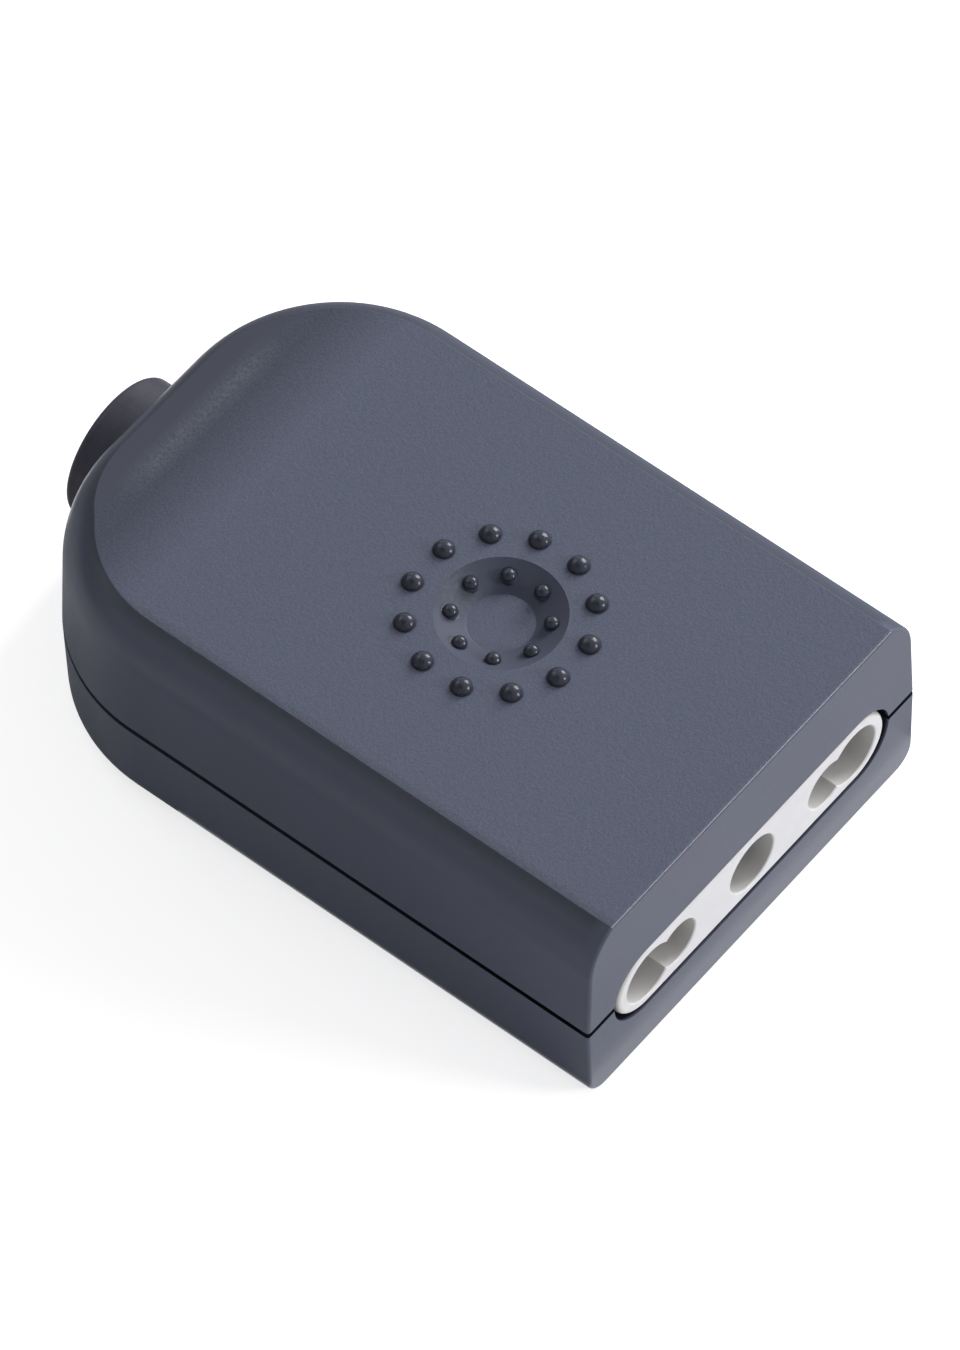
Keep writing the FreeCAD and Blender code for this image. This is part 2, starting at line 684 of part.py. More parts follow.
def line_contact():
    body = new_body("line_contact")
    web(body, span(CHAMBER_PLACE, f"{CHAMBER_WIDTH} - tail_play * 2"))
    finger(body, "small", "small_pitch / 2", "small_finger", "small_grip")
    finger(body, "large", "large_pitch / 2", "large_finger", "large_grip")
    tail(body, CHAMBER_PLACE)
    return body


def neutral_contact(source):
    twin = doc.addObject("Part::Mirroring", "neutral_contact")
    twin.Source = source
    twin.Normal = FreeCAD.Vector(1, 0, 0)
    return twin


def earth_contact():
    body = new_body("earth_contact")
    web(body, span("0", "earth_chamber_width - tail_play * 2"))
    finger(body, "earth", "0", "earth_finger", "small_grip")
    tail(body, "0")
    return body


def terminal(name, centre):
    body = new_body(f"{name}_terminal")
    box(body, f"{name}_pillar", span(centre, "terminal_width"), (COVER_REAR, TERMINAL_REAR),
        (TERMINAL_LOW, TERMINAL_TOP))
    tail_rows = (f"{COVER_REAR} - wall", f"{COVER_REAR} + tail_reach")
    box(body, f"{name}_tail_seat", span(centre, "tail_width"), tail_rows,
        span("parting_height", "tail_thickness"), cut=True)
    wire_start = (centre, f"{TERMINAL_REAR} - wire_depth", "parting_height")
    cylinder(body, f"{name}_wire_hole", "wire_hole", wire_start, "wire_depth + wall", TO_REAR, cut=True)
    thread_start = (centre, TERMINAL_SCREW_Y, f"{TERMINAL_LOW} - wall")
    cylinder(body, f"{name}_thread", "terminal_screw", thread_start,
             f"parting_height - {TERMINAL_LOW} + wall", cut=True)
    return body


def slotted_screw(body, core, head, head_height, x, y, seat, length):
    """Stand a cheese-head screw on its head, with the core pointing up from the seat."""
    cylinder(body, f"{body.Name}_head", head, (x, y, f"{seat} - {head_height}"), head_height)
    cylinder(body, f"{body.Name}_core", core, (x, y, f"{seat} - {head_height} / 2"),
             f"{length} + {head_height} / 2")
    box(body, f"{body.Name}_drive", span(x, "drive_slot"), span(y, f"{head} * 2"),
        (f"{seat} - {head_height} - drive_depth", f"{seat} - {head_height} + drive_depth"), cut=True)


def terminal_screw(name, centre):
    body = new_body(f"{name}_terminal_screw")
    seat = f"({TERMINAL_LOW} - terminal_head_gap)"
    slotted_screw(body, "terminal_screw", "terminal_head", "terminal_head_height", centre,
                  TERMINAL_SCREW_Y, seat, f"parting_height - wire_hole / 4 - {seat}")
    return body


def screw_pair(label, x, y, seat, length):
    """Make one screw and its mirror image across the middle, as one group."""
    single = new_body(f"{label}_right")
    slotted_screw(single, "screw_core", "screw_head", "screw_head_height", x, y, seat, length)
    twin = doc.addObject("Part::Mirroring", f"{label}_left")
    twin.Source = single
    twin.Normal = FreeCAD.Vector(1, 0, 0)
    group = doc.addObject("Part::Compound", label)
    group.Label = label
    group.Links = [single, twin]
    return group


# Cord clamp and cable gland
def cord_clamp():
    body = new_body("cord_clamp")
    bar = box(body, "bar", span("0", CLAMP_LENGTH), span(CLAMP_PLACE, "clamp_width"),
              (CLAMP_LOW, CLAMP_SEAT))
    doc.recompute()
    corners = pick(bar.Shape, "Edge", lambda b: b.ZLength > TINY)
    dressed(body, "Fillet", "bar_corners", bar, corners, "Radius", "clamp_corner")
    hollow_start = ("0", f"{CLAMP_PLACE} - clamp_width", GLAND_AXIS)
    cylinder(body, "cord_hollow", "cord_room", hollow_start, "clamp_width * 2", TO_REAR, cut=True)

    def screw_hole(name, sign):
        start = (f"{sign} * clamp_screw_x", CLAMP_PLACE, "0")
        cylinder(body, f"{name}_hole", "screw_core", start, f"{CLAMP_SEAT} + wall", cut=True)
        cylinder(body, f"{name}_recess", "clamp_recess", start, CLAMP_HEAD_SEAT, cut=True)

    both_sides(screw_hole)
    return body


def cable_gland():
    body = new_body("cable_gland")
    section = sketch(body, "gland_section", "YZ_Plane", y=GLAND_AXIS)
    polygon(section, [(f"{FLANGE_REAR} - gland_flange_length", "gland_bore / 2"),
                      (f"{FLANGE_REAR} - gland_flange_length", "gland_flange / 2"),
                      (FLANGE_REAR, "gland_flange / 2"), (FLANGE_REAR, "gland_neck / 2"),
                      ("body_length", "gland_neck / 2"), ("body_length", "gland_barrel / 2"),
                      (TOTAL, "gland_barrel / 2"), (TOTAL, "gland_bore / 2")])
    bush = turned(body, "Revolution", "bush", section, "H_Axis")
    doc.recompute()
    reach = sheet.body_length + sheet.gland_reach
    barrel = sheet.gland_barrel
    rim = pick(bush.Shape, "Edge", lambda b: lies_at(b.YMin, b.YMax, reach) and b.XLength > barrel - TINY)
    dressed(body, "Fillet", "barrel_round", bush, rim, "Radius", "gland_round")
    return body


def build():
    line_clip = line_contact()
    centres = {"line": CHAMBER_PLACE, "neutral": f"-{CHAMBER_PLACE}", "earth": "0"}
    nodes = [upper_shell(), lower_shell(), socket_insert(), insert_cover(), shutter(), shutter_spring(),
             line_clip, neutral_contact(line_clip), earth_contact(), cord_clamp(), cable_gland()]
    nodes += [terminal(name, centre) for name, centre in centres.items()]
    nodes += [terminal_screw(name, centre) for name, centre in centres.items()]
    nodes.append(screw_pair("housing_screws", HOUSING_SCREW_X, HOUSING_SCREW_Y, "counterbore_depth",
                            "parting_height - counterbore_depth + housing_screw_bite"))
    nodes.append(screw_pair("clamp_screws", "clamp_screw_x", CLAMP_PLACE, CLAMP_HEAD_SEAT,
                            "clamp_thickness - clamp_recess_depth + clamp_screw_bite"))
    doc.recompute()
    return nodes


def check_features():
    """Stop if a feature failed, or if a cut took nothing away."""
    for item in doc.Objects:
        if "Invalid" in item.State or "Error" in item.State:
            raise RuntimeError(f"{item.Label} failed: {item.State}")
    for body in doc.findObjects("PartDesign::Body"):
        solids = [item for item in body.Group if item.isDerivedFrom("PartDesign::Feature")]
        for before, after in zip(solids, solids[1:]):
            is_cut = any(word in after.TypeId for word in ("Pocket", "Groove", "Subtractive"))
            if is_cut and after.Shape.Volume > before.Shape.Volume - TINY:
                raise RuntimeError(f"{after.Label} in {body.Label} cut nothing")


def write(nodes):
    for node in nodes:
        if node.Shape.isNull() or not node.Shape.isValid():
            raise RuntimeError(f"{node.Label} has no valid shape")
    os.makedirs("parts", exist_ok=True)
    for node in nodes:
        node.Shape.exportStep(f"parts/{node.Label}.step")
        print(node.Label, len(node.Shape.Solids), "solids", round(node.Shape.Volume, 1), "mm3")


sub_parts = build()
check_features()
write(sub_parts)
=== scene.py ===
import json
import math

import bpy
from mathutils import Matrix, Vector

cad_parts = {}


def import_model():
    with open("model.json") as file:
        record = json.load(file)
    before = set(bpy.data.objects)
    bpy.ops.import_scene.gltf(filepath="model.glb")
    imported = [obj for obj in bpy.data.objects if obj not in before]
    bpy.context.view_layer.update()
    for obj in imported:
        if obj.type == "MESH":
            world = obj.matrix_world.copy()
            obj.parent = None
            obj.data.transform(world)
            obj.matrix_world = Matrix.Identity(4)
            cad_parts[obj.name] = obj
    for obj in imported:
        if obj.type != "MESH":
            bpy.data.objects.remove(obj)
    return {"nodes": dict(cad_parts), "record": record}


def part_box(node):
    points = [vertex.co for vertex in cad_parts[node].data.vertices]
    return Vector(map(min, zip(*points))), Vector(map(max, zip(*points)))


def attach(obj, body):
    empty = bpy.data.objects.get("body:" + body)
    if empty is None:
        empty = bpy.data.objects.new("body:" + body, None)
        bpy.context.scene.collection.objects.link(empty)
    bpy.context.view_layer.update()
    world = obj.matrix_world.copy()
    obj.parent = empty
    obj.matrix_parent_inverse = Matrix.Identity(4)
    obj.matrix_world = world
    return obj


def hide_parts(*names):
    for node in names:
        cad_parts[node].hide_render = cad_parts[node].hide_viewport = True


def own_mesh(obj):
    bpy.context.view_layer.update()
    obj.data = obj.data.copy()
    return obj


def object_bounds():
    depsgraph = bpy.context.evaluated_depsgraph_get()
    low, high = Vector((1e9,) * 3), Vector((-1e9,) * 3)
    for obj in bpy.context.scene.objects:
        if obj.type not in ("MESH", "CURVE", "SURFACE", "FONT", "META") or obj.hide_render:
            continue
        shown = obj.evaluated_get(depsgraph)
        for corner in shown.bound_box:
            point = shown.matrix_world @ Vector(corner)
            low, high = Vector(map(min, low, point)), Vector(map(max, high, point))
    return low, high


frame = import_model()
cad_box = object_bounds()
nodes = frame["nodes"]
mounts = {mount["name"]: mount for mount in frame["record"]["mounts"]}
MM = 0.001
BLACK, WHITE = (0, 0, 0, 1), (1, 1, 1, 1)

# Picture: the view of the photograph, of 960 x 1350 pixels; angles in degrees, the lens in millimetres
AIM = Vector((-0.15, -5.28, 10.5)) * MM
AZIMUTH, ELEVATION, ROLL = -49.63, 55.875, -1.765
DISTANCE = 893.5 * MM
LENS = 300.14

# Insert: its face and axis, and half the length and height of the entries' room and of the opening round it
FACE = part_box("socket_insert")[0].y
INSERT_AXIS = mounts["earth_entry"]["pos_m"][2]
ENTRY_ROOM = (16.0 * MM, 2.95 * MM)
OPENING_ROOM = (17.6 * MM, 4.0 * MM)

# Housing, as in the model: the seam starts at the height of the insert's axis
DOT_RISE = 0.73 * MM
TOP, TOP_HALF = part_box("upper_shell")[1].z - DOT_RISE, 17.6 * MM
REAR_CREASE, REAR_FALL = 23.5 * MM, math.tan(math.radians(8.5))
FRONT_WALL = 2.0 * MM
SEAM_HEIGHT, SEAM_MARGIN, SEAM_EDGE = 0.55 * MM, 0.02 * MM, 0.01 * MM
SEAM_LOW = INSERT_AXIS - SEAM_MARGIN
SEAM_HIGH = INSERT_AXIS + SEAM_HEIGHT + SEAM_MARGIN
DISH_CENTRE = Vector((0.0, -7.5)) * MM
DISH_FLOOR, DISH_MOUTH, DISH_DEPTH = 2.75 * MM, 5.4 * MM, 1.35 * MM
FIRST_DOT = math.radians(75)
DOT_RINGS = (
    # ring radius, dots, radius of a dot
    (7.6 * MM, 12, 0.97 * MM),
    (4.05 * MM, 8, 0.69 * MM),
)

# Zones over which a tone changes, from start to end; that of a dot is in shares of its radius
NOISE_ZONE, SPARK_ZONE = (0.3, 0.7), (0.34, 0.68)
DISH_LOW_ZONE = (TOP - DISH_DEPTH - 0.35 * MM, TOP - DISH_DEPTH - 0.25 * MM)
DISH_FLOOR_ZONE = (0.97 * DISH_FLOOR, 1.03 * DISH_FLOOR)
DOT_ZONE = (0.94, 1.04)
FLAT_ZONE = (TOP - 0.03 * MM, TOP - 0.01 * MM)
# Painted shade on the rim: along the left crease, at the brink and down the slope
CREASE_ZONE = (TOP_HALF - 0.6 * MM, TOP_HALF + 0.3 * MM)
BRINK_ZONE = (TOP - 0.65 * MM, TOP - 0.05 * MM)
SLOPE_ZONE = (TOP - 2.1 * MM, TOP - 1.3 * MM)
FRONT_ZONE = (FACE + 0.8 * MM, FACE + 1.6 * MM)
# Painted shade in the gap round the insert and in the seam
GAP_ZONE = (FACE, FACE + 0.25 * MM)
SEAM_FADE = (-25 * MM, 20 * MM)
# Painted reflection on the insert's rim, and painted shade down the entries
INSERT_RIM_ZONE = (FACE, FACE + 0.15 * MM)
ENTRY_ZONE = (FACE, FACE + 3.5 * MM)
# The grain of the top ends where its rear end slopes down, in a streak with a painted highlight; the strip
# round it is duller and painted darker
GRAIN_END = (REAR_CREASE + 0.8 * MM, REAR_CREASE + 2.8 * MM)
DULL_ZONE = (REAR_CREASE - 7.5 * MM, REAR_CREASE - 2.0 * MM)
STREAK = REAR_CREASE - 0.3 * MM
STREAK_WIDTH, STREAK_LENGTH = (0.2 * MM, 1.5 * MM), (6.0 * MM, 10.0 * MM)
# Patch of painted glittering highlight on the flank of the dish
PATCH, PATCH_ZONE = Vector((-0.1, -3.3)) * MM, (0.84 * MM, 2.1 * MM)

# Studio, in metres and watts
FLOOR_SIZE = 6.0
FLOOR_GAP = 0.02 * MM
FLOOR_TONE = (0.86, 0.86, 0.86, 1)
FLOOR_GLOW = 0.70
AMBIENT = (0.26, 0.262, 0.27, 1)
LAMPS = (
    # name, where it stands, side, power
    ("key", Vector((0.98, -0.06, 0.52)), 0.55, 10.6),
    ("front", Vector((0.45, -0.87, 0.38)), 0.28, 4.1),
    ("rear", Vector((0.10, 0.75, 0.75)), 0.50, 1.0),
)
# Room that the cards close in, and the lines round the object where their tones change
LEFT, RIGHT, FRONT, REAR, CEILING = -0.40, 0.60, -0.60, 0.55, 1.40
BY_LEFT, BY_RIGHT, BY_FRONT, BY_REAR = -0.0209, 0.022, -0.034, 0.048
LEFT_SPLIT, REAR_SPLIT = 0.65, -0.006
# Cards round the object, lying just above the floor or upright, each seen by one kind of ray only
CARDS = (
    # name, tone, glow, rays that see it, opposite corners of each rectangle
    ("grey_card", (0.88, 0.88, 0.89, 1), 0.0, "glossy", (
        ((LEFT, FRONT, 0), (BY_LEFT, REAR, 0)),
    )),
    ("side_card", (0.60, 0.60, 0.61, 1), 0.0, "glossy", (
        ((LEFT, FRONT, 0), (LEFT, REAR, LEFT_SPLIT)),
        ((BY_LEFT, 0.010, 0), (REAR_SPLIT, REAR, 0)),
    )),
    ("dark_card", (0.30, 0.30, 0.31, 1), 0.0, "glossy", (
        ((LEFT, FRONT, LEFT_SPLIT), (LEFT, REAR, CEILING)),
        ((LEFT, FRONT, CEILING), (0.05, REAR, CEILING)),
        ((REAR_SPLIT, BY_REAR, 0), (RIGHT, REAR, 0)),
        ((BY_RIGHT, BY_FRONT, 0), (RIGHT, BY_REAR, 0)),
        ((LEFT, REAR, 0), (0.30, REAR, 0.30)),
    )),
    ("pale_card", (0.90, 0.90, 0.91, 1), 0.0, "glossy", (
        ((BY_LEFT, FRONT, 0), (RIGHT, BY_FRONT, 0)),
    )),
    ("bounce_card", (0.86, 0.86, 0.86, 1), 0.22, "diffuse", (
        ((-0.10, -0.30, 0), (0.20, BY_FRONT, 0)),
    )),
)
# Height of the lying cards above the floor, by the rays that see them
CARD_LIFT = {"glossy": 0.012 * MM, "diffuse": 0.006 * MM}


def tint(colour, factor):
    """A colour made lighter or darker."""
    return (*[c * factor for c in colour[:3]], 1)


class Finish:
    """A material on one Principled shader, with short calls for the nodes that feed it."""

    def __init__(self, name, **constants):
        self.material = bpy.data.materials.new(name)
        self.material.use_nodes = True
        self.tree = self.material.node_tree
        self.shader = self.tree.nodes["Principled BSDF"]
        for socket, value in constants.items():
            self.shader.inputs[socket.replace("_", " ")].default_value = value
        self.place = self.node("TexCoord")
        split = self.node("SeparateXYZ")
        self.feed(split.inputs[0], self.place.outputs["Object"])
        self.x, self.y, self.z = split.outputs

    def node(self, kind, **settings):
        made = self.tree.nodes.new("ShaderNode" + kind)
        for name, value in settings.items():
            setattr(made, name, value)
        return made

    def feed(self, socket, source):
        """Joins a source to a socket, or sets the socket if the source is a number or colour."""
        if isinstance(source, bpy.types.NodeSocket):
            self.tree.links.new(source, socket)
        else:
            socket.default_value = source

    def math(self, operation, *terms):
        made = self.node("Math", operation=operation)
        for socket, term in zip(made.inputs, terms):
            self.feed(socket, term)
        return made.outputs[0]

    def product(self, first, *others):
        for other in others:
            first = self.math("MULTIPLY", first, other)
        return first

    def length(self, across, along):
        """Length of the hypotenuse of two distances."""
        squares = [self.product(side, side) for side in (across, along)]
        return self.math("SQRT", self.math("ADD", *squares))

    def reach(self, source, centre):
        """Distance of the source from a centre, to either side."""
        return self.math("ABSOLUTE", self.math("SUBTRACT", source, centre))

    def ragged(self, source, noise, most):
        """The source moved by a noise, so that a mask made from it has a ragged edge."""
        return self.math("MULTIPLY_ADD", noise, most, source)

    def noise(self, size, detail, stretch=(1, 1, 1)):
        """Noise with lumps about size metres across, stretched along the axes by the given factors."""
        shrink = self.node("Mapping")
        shrink.inputs["Scale"].default_value = [1 / (size * s) for s in stretch]
        self.feed(shrink.inputs["Vector"], self.place.outputs["Object"])
        made = self.node("TexNoise")
        made.inputs["Scale"].default_value = 1
        made.inputs["Detail"].default_value = detail
        self.feed(made.inputs["Vector"], shrink.outputs[0])
        return made.outputs["Fac"]

    def spread(self, source, low, high, zone=NOISE_ZONE):
        """A number that goes from low to high as the source goes through a zone."""
        made = self.node("MapRange")
        start, end = zone
        for name, value in (("From Min", start), ("From Max", end), ("To Min", low), ("To Max", high)):
            made.inputs[name].default_value = value
        self.feed(made.inputs["Value"], source)
        return made.outputs[0]

    def rise(self, source, zone, full=1):
        """0 before a zone, and full after it."""
        return self.spread(source, 0, full, zone)

    def fall(self, source, zone, full=1):
        """Full before a zone, and 0 after it."""
        return self.spread(source, full, 0, zone)

    def pick(self, mask, bare, covered):
        """A number that is bare where a mask is 0 and covered where it is 1."""
        return self.spread(mask, bare, covered, (0, 1))

    def blend(self, factor, first, second):
        """A colour between the first and the second."""
        made = self.node("Mix", data_type="RGBA")
        colours = [s for s in made.inputs if s.type == "RGBA"]
        self.feed(made.inputs["Factor"], factor)
        self.feed(colours[0], first)
        self.feed(colours[1], second)
        return next(s for s in made.outputs if s.type == "RGBA")

    def mottle(self, noise, tone, dark, light):
        """A tone that a noise makes darker and lighter, by two factors."""
        return self.blend(self.spread(noise, 0, 1), tint(tone, dark), tint(tone, light))

    def bump(self, height, depth, strength, under=None):
        made = self.node("Bump")
        made.inputs["Distance"].default_value = depth
        self.feed(made.inputs["Strength"], strength)
        self.feed(made.inputs["Height"], height)
        if under:
            self.feed(made.inputs["Normal"], under)
        return made.outputs[0]

    def wear(self, colour, roughness, normal):
        """Joins what was made to the shader."""
        for name, source in (("Base Color", colour), ("Roughness", roughness), ("Normal", normal)):
            self.feed(self.shader.inputs[name], source)
        return self.material

    def glow(self, strength):
        """Joins a strength to the shader's own light."""
        self.feed(self.shader.inputs["Emission Strength"], strength)
        return self.material


def dish_and_dots(finish):
    """Three masks that are 1 on the dish's floor, on its flank and on the dots, and 0 elsewhere."""
    x = finish.math("SUBTRACT", finish.x, DISH_CENTRE.x)
    y = finish.math("SUBTRACT", finish.y, DISH_CENTRE.y)
    turn = finish.math("SUBTRACT", finish.math("ARCTAN2", y, x), FIRST_DOT)
    out = finish.length(x, y)
    bottom = finish.fall(out, DISH_FLOOR_ZONE)
    flank = finish.product(finish.math("SUBTRACT", 1, bottom), finish.math("LESS_THAN", out, DISH_MOUTH))
    dot = 0
    for ring, count, radius in DOT_RINGS:
        along = finish.product(finish.math("PINGPONG", turn, math.pi / count), ring)
        apart = finish.length(along, finish.math("SUBTRACT", out, ring))
        here = finish.fall(apart, [share * radius for share in DOT_ZONE])
        dot = finish.math("MAXIMUM", dot, here)
    high = finish.rise(finish.z, DISH_LOW_ZONE)
    return [finish.product(mask, high) for mask in (bottom, flank, dot)]


def insert_room(finish, room):
    """1 within half a length and half a height of the insert's axis, 0 outside."""
    sides = (finish.math("ABSOLUTE", finish.x), finish.reach(finish.z, INSERT_AXIS))
    return finish.product(*[finish.math("LESS_THAN", side, half) for side, half in zip(sides, room)])


def rear_end(finish, flat):
    """Masks of the streak of painted highlight where the top's grain ends at the rear, and of the duller
    strip round it, which is painted darker.
    """
    streak = finish.product(
        finish.fall(finish.reach(finish.y, STREAK), STREAK_WIDTH),
        finish.fall(finish.math("ABSOLUTE", finish.x), STREAK_LENGTH),
    )
    return streak, finish.product(flat, finish.rise(finish.y, DULL_ZONE))


def glitter_patch(finish):
    """Mask of the patch of painted glittering highlight on the flank, strongest in its middle."""
    sides = [finish.math("SUBTRACT", place, middle) for place, middle in zip((finish.x, finish.y), PATCH)]
    return finish.fall(finish.length(*sides), PATCH_ZONE, full=1.8)


def painted_rim_shades(finish, pits, level, flat, dish):
    """Masks of painted shade: a ragged dark line along the top's left crease, and darkening on the slope
    outside the crease.
    """
    left = finish.ragged(finish.product(finish.x, -1), pits, 0.6 * MM)
    line = finish.product(flat, finish.rise(left, CREASE_ZONE, full=0.35))
    brink = finish.ragged(level, pits, 0.2 * MM)
    shades = (finish.rise(brink, BRINK_ZONE, full=0.40), finish.rise(level, SLOPE_ZONE, full=0.10))
    outside = finish.math("SUBTRACT", 1, finish.math("MAXIMUM", dish, flat))
    # The painted shade stops short of the edge above the socket face, which keeps its light line
    return line, finish.product(finish.math("ADD", *shades), outside, finish.rise(finish.y, FRONT_ZONE))


def gap_shade_mask(finish):
    """Mask of painted shade in the seam, which is fainter to the rear, and in the gap round the insert."""
    gap = finish.product(
        finish.math("LESS_THAN", finish.y, FACE + FRONT_WALL),
        finish.rise(finish.y, GAP_ZONE),
        insert_room(finish, OPENING_ROOM),
    )
    seam = finish.product(
        finish.rise(finish.z, (SEAM_LOW, SEAM_LOW + SEAM_EDGE)),
        finish.fall(finish.z, (SEAM_HIGH - SEAM_EDGE, SEAM_HIGH)),
        finish.spread(finish.y, 1, 0.2, SEAM_FADE),
    )
    return finish.math("MAXIMUM", seam, gap)


def housing_plastic():
    """Slate moulded plastic: spark-eroded grain on the flat top and in the dish, the rest smooth."""
    finish = Finish("slate_plastic")
    tone = (0.072, 0.084, 0.130)
    flank_tone, painted_glint = (0.092, 0.102, 0.141, 1), (0.13, 0.14, 0.165, 1)
    grain = finish.noise(0.16 * MM, detail=3)
    pits = finish.noise(0.34 * MM, detail=2)
    spark = finish.noise(0.26 * MM, detail=2)
    flow = finish.noise(9 * MM, detail=2)
    peel = finish.noise(0.55 * MM, detail=1)

    # Height, with the slope of the top's rear end taken out
    behind = finish.math("MAXIMUM", finish.math("SUBTRACT", finish.y, REAR_CREASE), 0)
    level = finish.math("MULTIPLY_ADD", behind, REAR_FALL, finish.z)

    # Where the grain is: its edges are a little ragged
    bottom, flank, dot = dish_and_dots(finish)
    flat = finish.rise(finish.ragged(level, pits, 0.03 * MM), FLAT_ZONE)
    ahead = finish.fall(finish.ragged(finish.y, pits, 2.5 * MM), GRAIN_END)
    plain = finish.math("SUBTRACT", 1, dot)
    grained = finish.product(finish.math("MAXIMUM", finish.product(flat, ahead), bottom), plain)
    polished = finish.product(flank, plain)

    # Painted glittering highlight: on the rear streak and on the patch of the flank
    streak, dull = rear_end(finish, flat)
    painted_sparkle = finish.math("MAXIMUM", streak, finish.product(polished, glitter_patch(finish)))
    painted_glitter = finish.product(painted_sparkle, finish.spread(spark, 0.10, 0.60, SPARK_ZONE))

    # Colour: what covers the plain plastic, one tone after another, painted shade and painted highlight
    # among them
    line, slope = painted_rim_shades(finish, pits, level, flat, finish.math("MAXIMUM", bottom, flank))
    gap_shade = gap_shade_mask(finish)
    speck = finish.mottle(grain, tone, 0.90, 1.24)
    even = finish.mottle(flow, tone, 0.97, 1.03)
    colour = finish.blend(grained, even, speck)
    covers = (
        (polished, flank_tone),
        (dot, tint(tone, 0.40)),
        # Painted shade on the duller strip at the rear
        (finish.product(dull, 0.4), BLACK),
        # Painted shade along the left crease, then on the rim slope outside it
        (line, BLACK),
        (slope, BLACK),
        # Painted glittering highlight on the streak and the patch
        (painted_glitter, painted_glint),
        # Painted shade in the seam and round the insert
        (gap_shade, tint(tone, 0.15)),
    )
    for mask, cover in covers:
        colour = finish.blend(mask, colour, cover)

    # Shine and roughness
    shine = finish.pick(gap_shade, 0.5, 0.05)
    for mask, share in ((dull, 0.7), (polished, 0.1), (dot, 0.6)):
        shine = finish.product(shine, finish.pick(mask, 1, share))
    finish.feed(finish.shader.inputs["Specular IOR Level"], shine)
    rough = finish.pick(grained, 0.30, 0.62)
    for mask, change in ((polished, 0.15), (dot, -0.10)):
        rough = finish.math("MULTIPLY_ADD", mask, change, rough)
    rough = finish.product(rough, finish.spread(pits, 0.92, 1.08))

    # Relief: the grain over an uneven skin, which is faint but on the dots
    skin = finish.bump(peel, 0.05 * MM, finish.pick(dot, 0.04, 0.6))
    height = finish.math("ADD", grain, pits)
    return finish.wear(colour, rough, finish.bump(height, 0.05 * MM, finish.product(grained, 0.5), skin))


def insert_plastic():
    """White moulded plastic, smooth, with a faint mottle."""
    finish = Finish("white_plastic", Specular_IOR_Level=0.45, Subsurface_Weight=0.08,
                    Subsurface_Scale=0.4 * MM)
    tone, rim_reflection = (0.80, 0.795, 0.82), (0.78, 0.765, 0.72, 1)
    mouth_shade, deep_shade = (0.72, 0.71, 0.70, 1), (0.44, 0.43, 0.42, 1)
    skin = finish.noise(0.25 * MM, detail=2)
    colour = finish.mottle(finish.noise(2.4 * MM, detail=3), tone, 0.975, 1.02)

    # Painted light: the rounded rim takes a cream tint of reflected light, and the walls of the entries
    # take painted shade, darker the deeper they lie
    wall_shade = finish.blend(finish.rise(finish.y, ENTRY_ZONE), mouth_shade, deep_shade)
    inner = finish.blend(insert_room(finish, ENTRY_ROOM), rim_reflection, wall_shade)
    colour = finish.blend(finish.rise(finish.y, INSERT_RIM_ZONE), colour, inner)
    return finish.wear(colour, finish.spread(skin, 0.34, 0.44), finish.bump(skin, 0.01 * MM, 0.25))


def shutter_plastic():
    """Off-white moulded plastic of the shutter."""
    finish = Finish("shutter_plastic", Specular_IOR_Level=0.45)
    skin = finish.noise(0.3 * MM, detail=2)
    colour = finish.mottle(finish.noise(1.8 * MM, detail=3), (0.66, 0.65, 0.60), 0.96, 1.03)
    return finish.wear(colour, finish.spread(skin, 0.36, 0.5), finish.bump(skin, 0.012 * MM, 0.3))


def clamp_plastic():
    """Darker slate plastic of the cord clamp, with an even fine grain."""
    finish = Finish("clamp_plastic", Specular_IOR_Level=0.38)
    grain = finish.noise(0.2 * MM, detail=3)
    colour = finish.mottle(grain, (0.075, 0.081, 0.11), 0.9, 1.12)
    return finish.wear(colour, finish.spread(grain, 0.42, 0.55), finish.bump(grain, 0.03 * MM, 0.4))


def gland_rubber():
    """Black soft moulding, a little dusty, with a dull sheen."""
    finish = Finish("black_rubber", Specular_IOR_Level=0.4, Sheen_Weight=0.08, Sheen_Roughness=0.5)
    skin = finish.noise(0.22 * MM, detail=2)
    colour = finish.mottle(finish.noise(1.6 * MM, detail=4), (0.023, 0.023, 0.040), 0.85, 1.35)
    return finish.wear(colour, finish.spread(skin, 0.42, 0.58), finish.bump(skin, 0.02 * MM, 0.4))


def brass():
    """Rolled and turned brass with faint drawing lines and a little tarnish."""
    finish = Finish("brass", Metallic=1.0)
    lines = finish.noise(0.06 * MM, detail=2, stretch=(1, 40, 1))
    colour = finish.mottle(finish.noise(2.2 * MM, detail=4), (0.80, 0.58, 0.26), 0.78, 1)
    return finish.wear(colour, finish.spread(lines, 0.20, 0.36), finish.bump(lines, 0.006 * MM, 0.5))


def steel(name, tone, grain):
    """Plated or drawn steel with fine marks about grain metres wide."""
    finish = Finish(name, Metallic=1.0)
    marks = finish.noise(grain, detail=2, stretch=(1, 1, 12))
    colour = finish.mottle(finish.noise(1.2 * MM, detail=3), tone, 0.86, 1)
    return finish.wear(colour, finish.spread(marks, 0.22, 0.38), finish.bump(marks, 0.005 * MM, 0.5))


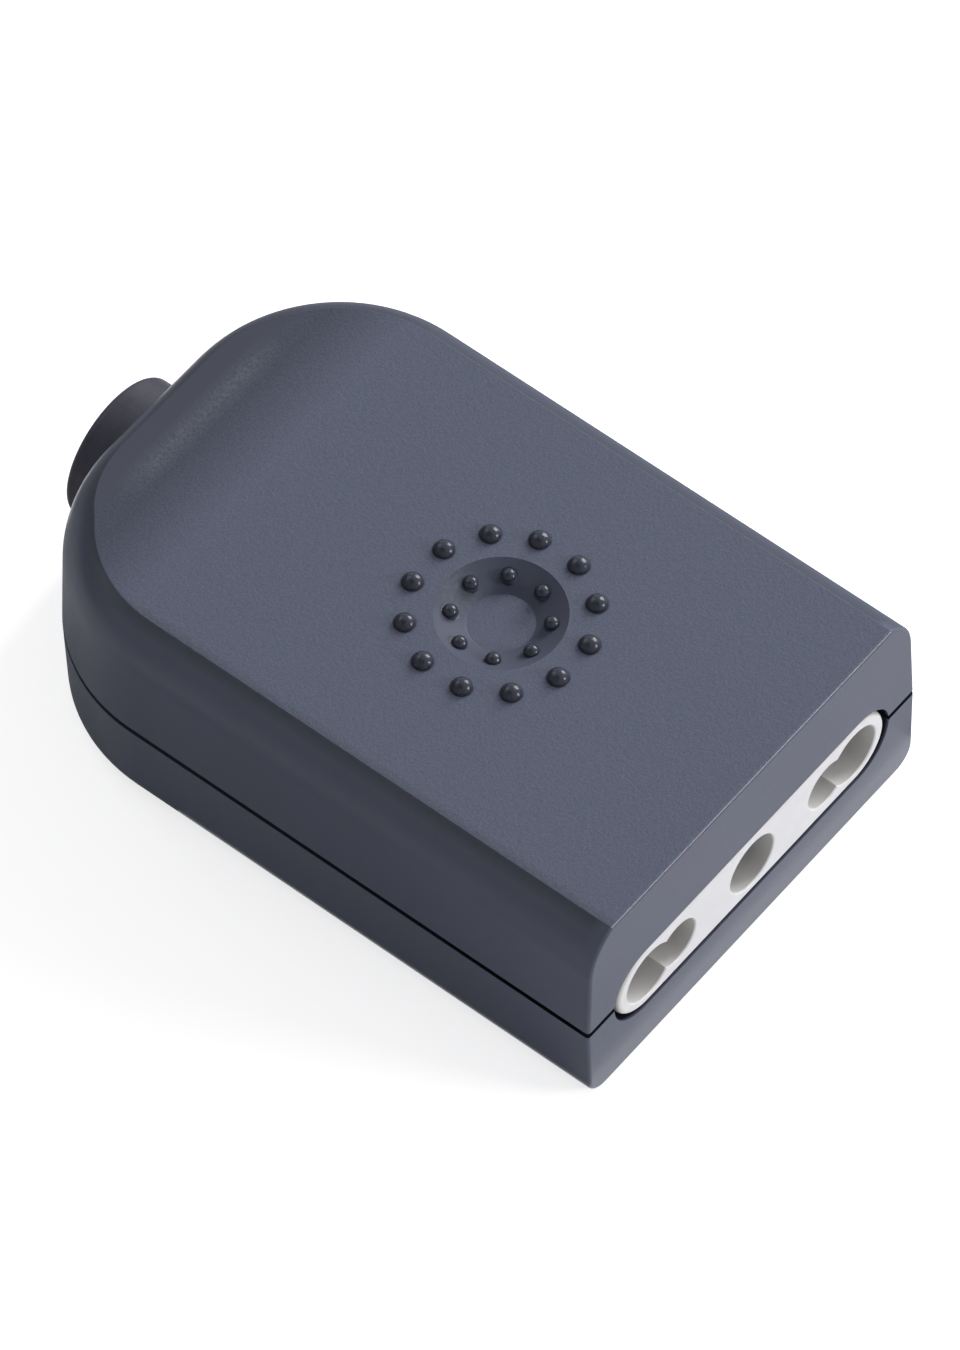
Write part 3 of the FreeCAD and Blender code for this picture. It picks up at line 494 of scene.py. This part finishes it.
def dress():
    """Gives each node the finish of its slot in the record."""
    finishes = {
        "housing": housing_plastic(),
        "insert": insert_plastic(),
        "shutter": shutter_plastic(),
        "clamp": clamp_plastic(),
        "gland": gland_rubber(),
        "brass": brass(),
        "screw_steel": steel("zinc_steel", (0.64, 0.64, 0.62), 0.05 * MM),
        "spring_steel": steel("spring_steel", (0.52, 0.52, 0.54), 0.03 * MM),
    }
    for part in frame["record"]["subparts"]:
        materials = nodes[part["node"]].data.materials
        materials.clear()
        materials.append(finishes[part["material_slot"]])


def bow_spring():
    """The shutter's spring, on a mesh of its own fixed to the housing, in place of the model's spring."""
    made = bpy.data.objects.new("bow_spring", nodes["shutter_spring"].data.copy())
    bpy.context.scene.collection.objects.link(made)
    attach(made, "housing")
    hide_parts("shutter_spring")
    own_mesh(made)


def seen_ray(tree):
    """1 for a ray from the camera, or one mirrored or passed on to it."""
    path = tree.nodes.new("ShaderNodeLightPath")
    seen = path.outputs["Is Camera Ray"]
    for name in ("Is Glossy Ray", "Is Transmission Ray"):
        either = tree.nodes.new("ShaderNodeMath")
        either.operation = "MAXIMUM"
        tree.links.new(seen, either.inputs[0])
        tree.links.new(path.outputs[name], either.inputs[1])
        seen = either.outputs[0]
    return seen


def sheets(name, rectangles, material):
    """Stage piece of flat rectangles, each between two opposite corners, lying or upright."""
    corners = []
    for (x0, y0, z0), (x1, y1, z1) in rectangles:
        if z0 == z1:
            corners += [(x0, y0, z0), (x1, y0, z0), (x1, y1, z0), (x0, y1, z0)]
        else:
            corners += [(x0, y0, z0), (x1, y1, z0), (x1, y1, z1), (x0, y0, z1)]
    mesh = bpy.data.meshes.new(name)
    mesh.from_pydata(corners, [], [range(i, i + 4) for i in range(0, len(corners), 4)])
    mesh.materials.append(material)
    made = bpy.data.objects.new(name, mesh)
    bpy.context.scene.collection.objects.link(made)
    return made


def chalk(name, tone):
    """Dull finish of a stage piece that can glow white."""
    return Finish(name, Base_Color=tone, Roughness=0.9, Specular_IOR_Level=0.0, Emission_Color=WHITE)


def floor():
    """Plain pale floor that glows enough for white where it is seen, and keeps the object's shadow."""
    half = FLOOR_SIZE / 2
    height = cad_box[0].z - FLOOR_GAP
    finish = chalk("pale_floor", FLOOR_TONE)
    material = finish.glow(finish.product(seen_ray(finish.tree), FLOOR_GLOW))
    sheets("floor", [((-half, -half, height), (half, half, height))], material)


def cards():
    """Cards that tone the object's reflections and light its front, and are unseen themselves."""
    for name, tone, glow, seen_by, rectangles in CARDS:
        made = sheets(name, rectangles, chalk(name, tone).glow(glow))
        made.location.z = cad_box[0].z - FLOOR_GAP + CARD_LIFT[seen_by]
        for ray in ("camera", "diffuse", "glossy", "transmission", "volume_scatter", "shadow"):
            setattr(made, f"visible_{ray}", ray == seen_by)


def world():
    """White where it is seen, and a soft grey light from all round otherwise."""
    made = bpy.data.worlds.new("studio")
    bpy.context.scene.world = made
    made.use_nodes = True
    tree = made.node_tree
    tree.nodes.clear()
    mix = tree.nodes.new("ShaderNodeMixShader")
    factor, *sides = mix.inputs
    tree.links.new(seen_ray(tree), factor)
    for side, colour in zip(sides, (AMBIENT, WHITE)):
        light = tree.nodes.new("ShaderNodeBackground")
        light.inputs["Color"].default_value = colour
        tree.links.new(light.outputs[0], side)
    out = tree.nodes.new("ShaderNodeOutputWorld")
    tree.links.new(mix.outputs[0], out.inputs["Surface"])


def lamps():
    """Soft square lamps aimed at the middle of the object."""
    middle = (cad_box[0] + cad_box[1]) / 2
    for name, place, side, power in LAMPS:
        light = bpy.data.lights.new(name, "AREA")
        light.size = side
        light.energy = power
        lamp = bpy.data.objects.new(name, light)
        lamp.location = place
        lamp.rotation_euler = (middle - place).to_track_quat("-Z", "Y").to_euler()
        bpy.context.scene.collection.objects.link(lamp)


def camera():
    """Long lens from above the left front corner, as in the photograph."""
    turn, lift, roll = (math.radians(angle) for angle in (AZIMUTH, ELEVATION, ROLL))
    back = Vector((math.sin(turn) * math.cos(lift), -math.cos(turn) * math.cos(lift), math.sin(lift)))
    right = Vector((math.cos(turn), math.sin(turn), 0))
    up = back.cross(right)
    level = Matrix((right, up, back)).transposed().to_4x4()
    made = bpy.data.objects.new("camera", bpy.data.cameras.new("camera"))
    made.data.lens = LENS
    made.matrix_world = Matrix.Translation(AIM + back * DISTANCE) @ level @ Matrix.Rotation(roll, 4, "Z")
    bpy.context.scene.collection.objects.link(made)
    bpy.context.scene.camera = made


dress()
bow_spring()
floor()
cards()
world()
lamps()
camera()
bpy.context.scene.view_settings.view_transform = "Standard"
